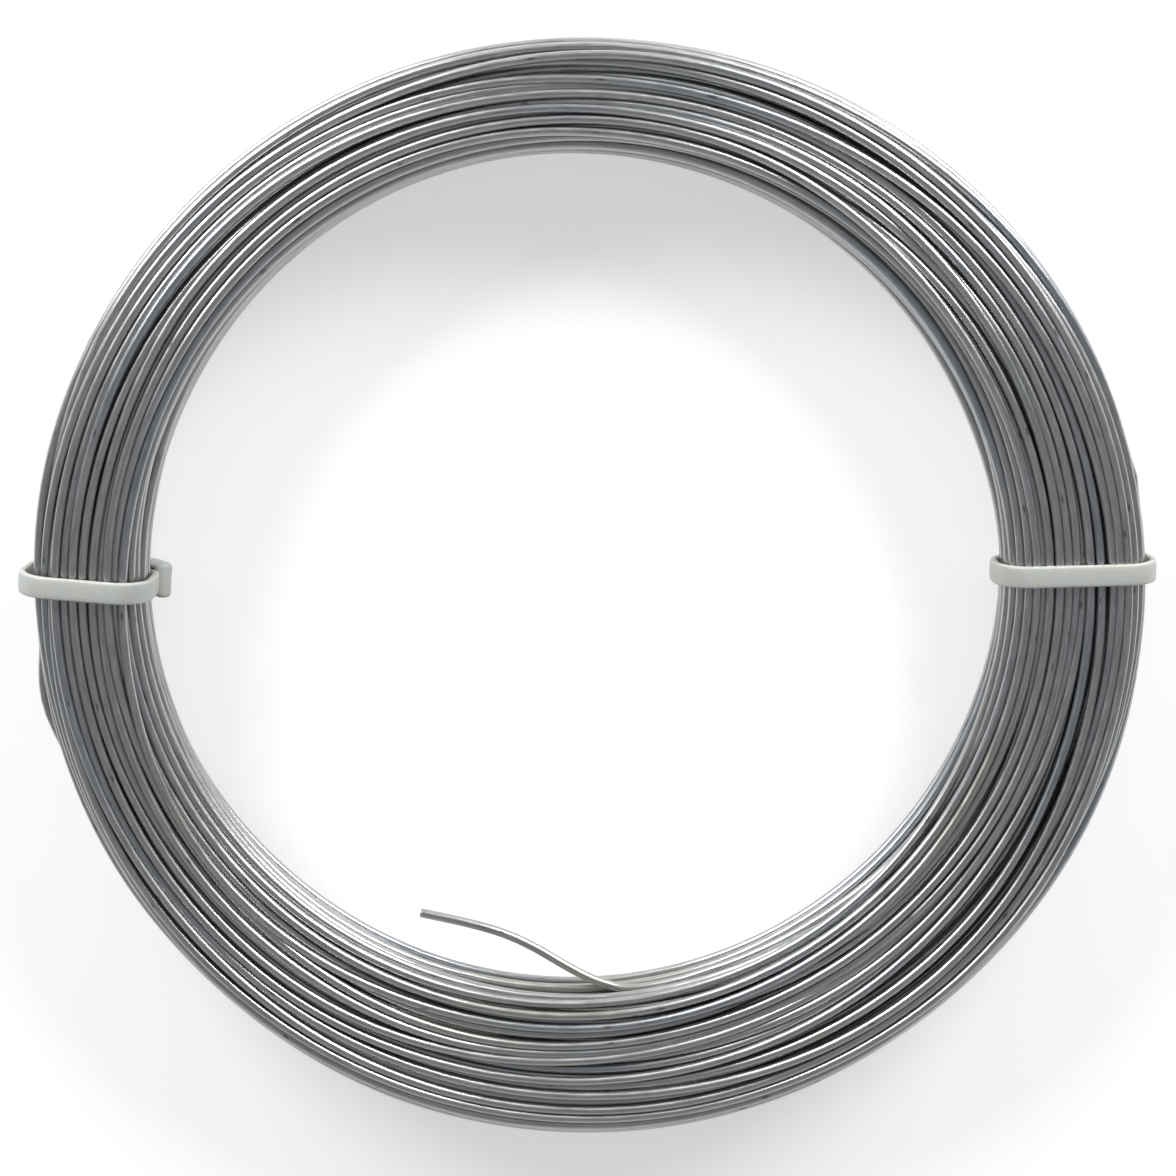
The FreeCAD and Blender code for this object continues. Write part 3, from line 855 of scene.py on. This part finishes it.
def loftMesh(name, rings, attribute, places, closed=False):
    # rings is (count, points, 3) in mm; the ends are capped unless the loft closes on itself, and the
    # caps have points of their own, so that they don't bend the shading beside them
    count, points = rings.shape[:2]
    spots, places = rings.reshape(-1, 3), places.reshape(-1, 3)
    mesh = bpy.data.meshes.new(name)
    ring = np.arange(count if closed else count - 1)[:, None]
    point = np.arange(points)[None]
    nextRing, nextPoint = (ring + 1) % count, (point + 1) % points
    quads = np.stack([ring * points + point, ring * points + nextPoint,
                      nextRing * points + nextPoint, nextRing * points + point], -1).reshape(-1, 4)
    corners = quads.ravel()
    starts = np.arange(len(quads)) * 4
    sizes = np.full(len(quads), 4)
    smooth = np.ones(len(quads), bool)
    if not closed:
        first = count * points + np.arange(points)[::-1]
        last = (count + 1) * points + np.arange(points)
        spots, places = [np.vstack([each, each[:points], each[-points:]]) for each in (spots, places)]
        starts = np.append(starts, [len(corners), len(corners) + points])
        sizes = np.append(sizes, [points, points])
        smooth = np.append(smooth, [False, False])
        corners = np.concatenate([corners, first, last])
    mesh.vertices.add(len(spots))
    mesh.vertices.foreach_set("co", (spots * mm).astype(np.float32).ravel())
    mesh.loops.add(len(corners))
    mesh.loops.foreach_set("vertex_index", corners.astype(np.int32))
    mesh.polygons.add(len(starts))
    mesh.polygons.foreach_set("loop_start", starts.astype(np.int32))
    mesh.polygons.foreach_set("loop_total", sizes.astype(np.int32))
    mesh.polygons.foreach_set("use_smooth", smooth)
    mesh.update(calc_edges=True)
    mesh.validate()
    stored = mesh.attributes.new(attribute, "FLOAT_VECTOR", "POINT")
    stored.data.foreach_set("vector", places.astype(np.float32).ravel())
    return mesh


def addPiece(name, mesh, material, node):
    mesh.materials.append(material)
    piece = bpy.data.objects.new(name, mesh)
    bpy.context.collection.objects.link(piece)
    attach(piece, "root")
    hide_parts(node)


def tubeRings(points, tangents, radii, sides):
    up = np.array([0, 0, 1.0])
    upright = unit(up - (tangents @ up)[:, None] * tangents)
    sideways = np.cross(tangents, upright)
    turn = np.arange(sides) * 2 * math.pi / sides
    offset = upright[:, None] * np.cos(turn)[None, :, None]
    offset += sideways[:, None] * np.sin(turn)[None, :, None]
    rings = points[:, None] + offset * np.asarray(radii)[:, None, None]
    return rings, turn


def wirePlaces(along, turn, radius):
    places = np.empty((len(along), len(turn), 3))
    places[..., 0] = along[:, None]
    places[..., 1] = radius * np.cos(turn)
    places[..., 2] = radius * np.sin(turn)
    return places


def makeTurns(points, material):
    radius = wire["diameter"] / 2
    tangents = unit(np.gradient(points, axis=0))
    along = np.concatenate([[0], np.cumsum(np.linalg.norm(np.diff(points, axis=0), axis=1))])
    perStretch = (len(points) - 1) // wire["stretches"]
    for stretch in range(wire["stretches"]):
        start = stretch * perStretch
        end = len(points) if stretch == wire["stretches"] - 1 else start + perStretch + 1
        part = slice(start, end)
        rings, turn = tubeRings(points[part], tangents[part], np.full(end - start, radius), wire["sides"])
        name = f"wire_turns_{stretch + 1}"
        mesh = loftMesh(name, rings, "wirePlace", wirePlaces(along[part], turn, radius))
        addPiece(name, mesh, material, "wire_coil")
    print("turns:", wire["turns"], "wire length m:", round(along[-1] * mm, 1))
    return tangents[0]


def makeFreeEnd(joint, direction, material):
    radius = wire["diameter"] / 2
    lead = direction * freeEnd["leadIn"]
    controls = np.array(freeEnd["points"] + [tuple(joint - lead), tuple(joint), tuple(joint + lead)])
    line = refine(controls, freeEnd["step"])
    line = line[:len(line) - freeEnd["step"]]      # ends at the joint
    tangents = unit(np.gradient(line, axis=0))
    radii = np.full(len(line), radius)
    tipSteps = np.array([0.0, 0.25, 0.6, 1.0])
    bevel = freeEnd["tipBevel"]
    tip = line[0] + tangents[0] * (tipSteps * bevel)[:, None]
    tipRadii = radius - bevel * (1 - np.sqrt(1 - (1 - tipSteps) ** 2))
    keep = np.linalg.norm(line - line[0], axis=1) > bevel * 1.5
    line = np.vstack([tip, line[keep]])
    tangents = np.vstack([np.repeat(tangents[:1], len(tip), 0), tangents[keep]])
    radii = np.concatenate([tipRadii, radii[keep]])
    along = -np.concatenate([[0], np.cumsum(np.linalg.norm(np.diff(line, axis=0), axis=1))])[::-1]
    rings, turn = tubeRings(line, tangents, radii, freeEnd["sides"])
    mesh = loftMesh("free_end", rings, "wirePlace", wirePlaces(along, turn, radius))
    addPiece("free_end", mesh, material, "wire_coil")
    print("free end length mm:", round(-along[0], 1))


def roundedLoop(left, right, bottom, top, corner, step):
    # points and outward normals round a rounded rectangle, evenly spaced, from the bottom's right end
    pieces = []
    arcs = [((right - corner, bottom + corner), -90), ((right - corner, top - corner), 0),
            ((left + corner, top - corner), 90), ((left + corner, bottom + corner), 180)]
    for (x, y), start in arcs:
        turn = np.radians(start + np.linspace(0, 90, 40))
        normal = np.stack([np.cos(turn), np.sin(turn)], 1)
        pieces.append(np.hstack([np.array([x, y]) + corner * normal, normal]))
    loop = np.vstack(pieces)
    loop = np.vstack([loop, loop[:1]])
    length = np.concatenate([[0], np.cumsum(np.linalg.norm(np.diff(loop[:, :2], axis=0), axis=1))])
    count = int(round(length[-1] / step))
    at = np.arange(count) / count * length[-1]
    even = np.stack([np.interp(at, length, loop[:, k]) for k in range(4)], 1)
    return even[:, :2], unit(even[:, 2:]), at


def strapRings(loop, normals, at, length):
    width, thick, edge = ties["width"], ties["thickness"], ties["edgeRadius"]
    teeth = int(round(length / ties["toothPitch"]))
    phase = at / length * teeth % 1
    tooth = ties["toothDepth"] * np.abs(2 * phase - 1)
    half = width / 2
    bend = np.radians([0, 30, 60, 90])
    profile = [(half - edge + edge * math.sin(a), thick - edge + edge * math.cos(a)) for a in bend]
    foot, inset = ties["sideFoot"], ties["toothInset"]
    profile += [(half, foot), (half - inset, None), (-half + inset, None), (-half, foot)]
    profile += [(-half + edge - edge * math.sin(a), thick - edge + edge * math.cos(a)) for a in bend[::-1]]
    profile += [(-half * 0.5, thick + ties["crown"]), (half * 0.5, thick + ties["crown"])]
    rings = np.empty((len(loop), len(profile), 3))
    for place, (side, out) in enumerate(profile):
        depth = tooth if out is None else np.full(len(loop), out)
        rings[:, place, 0] = loop[:, 0] + normals[:, 0] * depth
        rings[:, place, 1] = side
        rings[:, place, 2] = loop[:, 1] + normals[:, 1] * depth
    return rings


def rectangleLoop(halfLength, halfWidth, corner, shift, perCorner=6):
    loop = []
    for x, y, start in ((1, 1, 0), (-1, 1, 90), (-1, -1, 180), (1, -1, 270)):
        for part in range(perCorner):
            turn = math.radians(start + 90 * part / (perCorner - 1))
            loop.append((shift + x * (halfLength - corner) + corner * math.cos(turn),
                         y * (halfWidth - corner) + corner * math.sin(turn)))
    return np.array(loop)


def headRings(cornerPoint, turn):
    # an outer shell and a slot, joined in one closed loft round the slot
    near = ties["cornerRadius"] + 0.25
    far = ties["cornerRadius"] + ties["thickness"] + ties["headHeight"]
    length, width = ties["headLength"] / 2, ties["headWidth"] / 2
    playAlong, playAcross = ties["slotPlay"]
    slotLength, slotWidth = ties["thickness"] / 2 + playAlong, ties["width"] / 2 + playAcross
    # height, half length, half width, corner radius and shift, up the outside and down the slot
    levels = [
        (near, length - 0.7, width - 0.9, 0.5, 0.25), (near + 0.5, length - 0.35, width - 0.35, 0.6, 0.1),
        (near + 1.1, length - 0.05, width - 0.05, 0.7, 0.0), (near + 1.5, length, width, 0.7, 0.0),
        (far - 0.6, length, width, 0.7, 0.0), (far - 0.28, length - 0.08, width - 0.08, 0.7, 0.0),
        (far - 0.08, length - 0.3, width - 0.3, 0.6, 0.0), (far, length - 0.6, width - 0.6, 0.5, 0.0),
        (far, slotLength + 0.2, slotWidth + 0.2, 0.2, 0.0),
        (far - 0.12, slotLength + 0.04, slotWidth + 0.04, 0.12, 0.0),
        (far - 0.3, slotLength, slotWidth, 0.1, 0.0), (near + 0.9, slotLength, slotWidth, 0.1, 0.0),
    ]
    t = math.radians(turn)
    outward, across = np.array([-math.sin(t), -math.cos(t)]), np.array([math.cos(t), -math.sin(t)])
    rings = []
    for height, halfLength, halfWidth, corner, shift in levels:
        flat = rectangleLoop(halfLength, halfWidth, corner, shift)
        place = np.array(cornerPoint) + outward * height + flat[:, :1] * across
        rings.append(np.stack([place[:, 0], flat[:, 1], place[:, 1]], 1))
    return np.array(rings), outward, across


def endRings(cornerPoint, outward, across, side):
    # the strap's cut end in the slot, or the pawl that holds it
    far = ties["cornerRadius"] + ties["thickness"] + ties["headHeight"]
    rings = []
    if side == "strap":
        levels = [(far - 2.4, 0.55, 1.8, 0.1), (far - 0.2, 0.55, 1.8, 0.1), (far - 0.05, 0.45, 1.7, 0.05)]
    else:
        levels = [(far - 2.4, 0.20, 1.5, -0.72), (far - 1.0, 0.18, 1.5, -0.68),
                  (far - 0.5, 0.08, 1.4, -0.58)]
    for height, halfLength, halfWidth, shift in levels:
        flat = rectangleLoop(halfLength, halfWidth, 0.05, shift, 3)
        place = np.array(cornerPoint) + outward * height + flat[:, :1] * across
        rings.append(np.stack([place[:, 0], flat[:, 1], place[:, 1]], 1))
    return np.array(rings)


def turned(rings, bearing, centre, skew):
    # from the tie's own plane to the coil's frame, with a small skew about its middle
    rings = rings.copy()
    t = math.radians(skew)
    x, y = rings[..., 0] - centre, rings[..., 1].copy()
    rings[..., 0] = centre + x * math.cos(t) - y * math.sin(t)
    rings[..., 1] = x * math.sin(t) + y * math.cos(t)
    t = math.radians(bearing)
    x, y = rings[..., 0].copy(), rings[..., 1].copy()
    rings[..., 0] = x * math.cos(t) - y * math.sin(t)
    rings[..., 1] = x * math.sin(t) + y * math.cos(t)
    return rings


def makeTie(name, bearing, skew, headTurn, material):
    inner, _, depth, middle = sectionAt(bearing)[:4]
    gap = ties["clearance"]
    left, bottom, top = inner - gap, middle - depth / 2 - gap, middle + depth / 2 + gap
    right = ties["outerFace"] - ties["thickness"]
    corner = ties["cornerRadius"]
    loop, normals, at = roundedLoop(left, right, bottom, top, corner, ties["toothPitch"] / 4)
    length = at[-1] + at[1]
    rings = strapRings(loop, normals, at, length)
    cornerPoint = (left + corner, bottom + corner)
    head, outward, across = headRings(cornerPoint, headTurn)
    centre = (left + right) / 2
    mirror = 1 if bearing < 90 else -1
    parts = [("strap", rings, True), ("head", head, True),
             ("cut_end", endRings(cornerPoint, outward, across, "strap"), False),
             ("pawl", endRings(cornerPoint, outward, across, "pawl"), False)]
    for part, shape, closed in parts:
        flip = shape[:, ::-1] if part == "strap" else shape
        mesh = loftMesh(f"{name}_{part}", turned(flip, bearing, centre, skew * mirror), "tiePlace",
                        flip.reshape(-1, 3) + 50 * mirror, closed)
        addPiece(f"{name}_{part}", mesh, material, name)


placeCamera()
addLamps()
lightWorld()
makeFloor()
print("camera, lamps and floor placed")

grain, specks, drift = makeDrawnGrain(), makeSpecks(), makeToneDrift()
zincMaterial = makeZinc(grain, specks, drift)
nylonMaterial = makeNylon(specks, drift)
print("finishes made")

points = coilPoints()
direction = makeTurns(points, zincMaterial)
makeFreeEnd(points[0], direction, zincMaterial)
print("wire wound")

tieRows = zip(("right_cable_tie", "left_cable_tie"), ties["bearings"], ties["skews"], ties["headTurns"])
for name, bearing, skew, headTurn in tieRows:
    makeTie(name, bearing, skew, headTurn, nylonMaterial)
print("ties made")

scene = bpy.context.scene
scene.view_settings.view_transform = "Standard"
